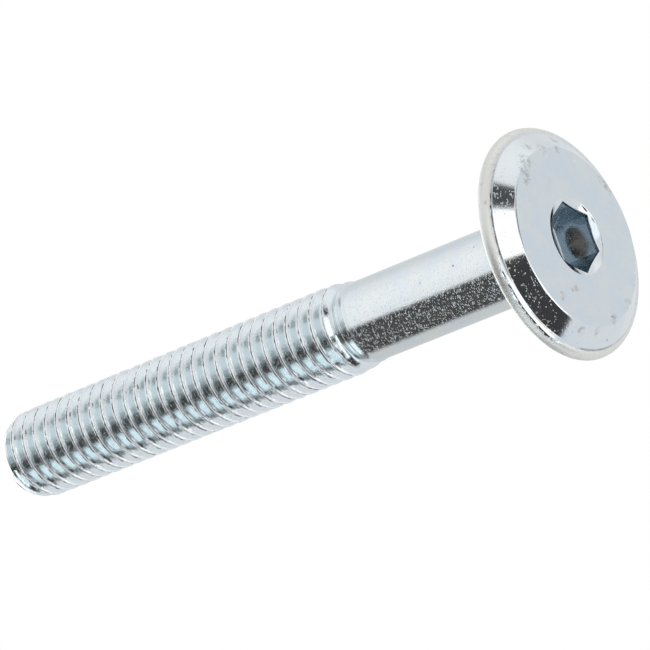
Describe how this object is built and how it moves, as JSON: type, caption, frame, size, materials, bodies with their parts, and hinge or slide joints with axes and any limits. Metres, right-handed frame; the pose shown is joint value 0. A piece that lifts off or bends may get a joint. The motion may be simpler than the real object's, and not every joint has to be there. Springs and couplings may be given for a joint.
{
  "type": "furniture bolt",
  "caption": "Metric connector bolt for knock-down furniture: thin flat head with a bevel and hex socket, plain shank and coarse thread.",
  "frame": {"origin": "centre of the head's flat outer face, on which the bolt stands", "axes": "+Z along the shank from the head to the tip; +X through a corner of the hexagon socket"},
  "size_m": [0.0148, 0.0148, 0.0467],
  "materials": {
    "bright_zinc": "bright zinc plating on cold-headed steel"
  },
  "bodies": {
    "root": {"furniture_bolt": "bright_zinc"}
  },
  "joints": []
}
